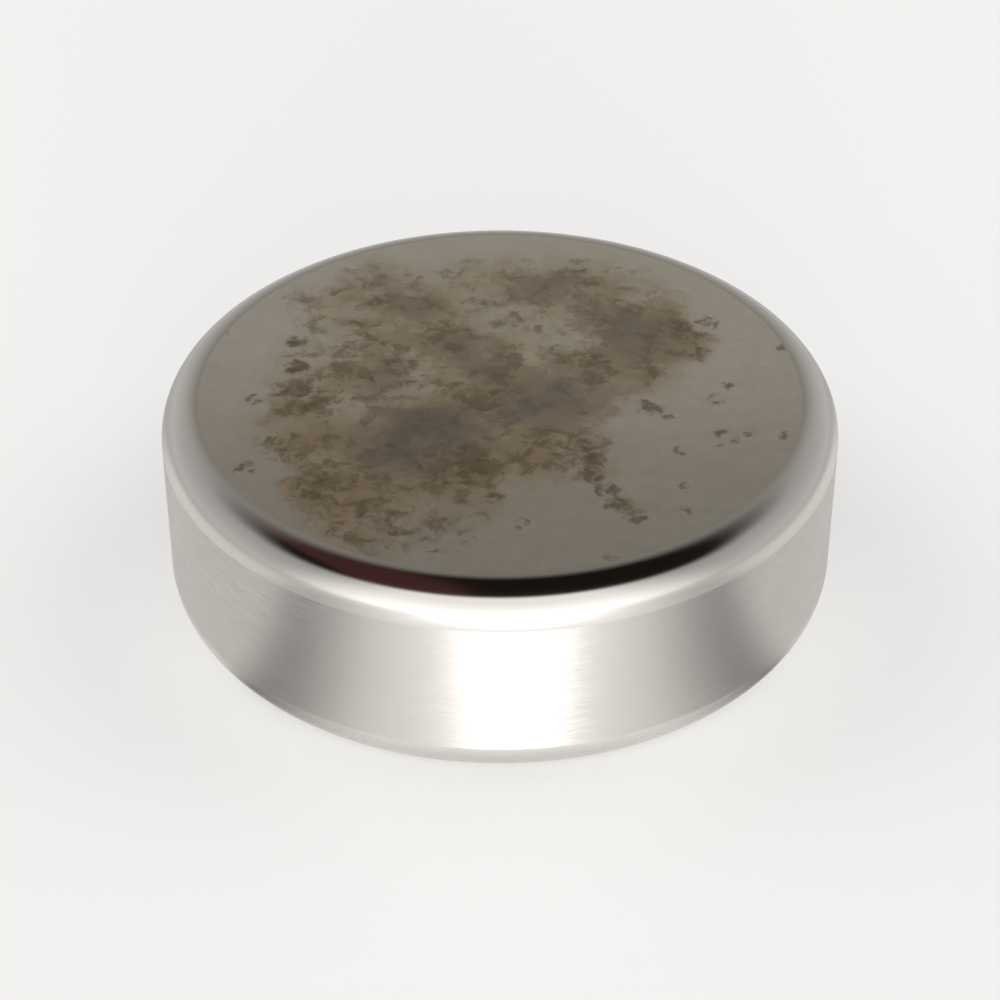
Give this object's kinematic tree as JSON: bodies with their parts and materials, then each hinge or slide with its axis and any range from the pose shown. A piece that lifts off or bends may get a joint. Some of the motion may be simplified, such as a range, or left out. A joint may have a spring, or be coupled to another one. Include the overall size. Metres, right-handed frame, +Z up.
{
  "type": "disc magnet",
  "caption": "Flat round plated disc magnet with a ground rim, rounded tumbled edges and two flat satin faces, one of them tarnished.",
  "frame": {"origin": "centre of the lower flat face, on the surface that the disc lies on", "axes": "+Z up along the disc's axis of revolution, out of the tarnished upper face; X and Y lie in the lower face"},
  "size_m": [0.025, 0.025, 0.008],
  "materials": {
    "nickel_plating": "bright nickel plating, satin on the ground rim and faces, mirror bright on the tumbled edges"
  },
  "bodies": {
    "root": {"disc_magnet": "nickel_plating"}
  },
  "joints": []
}
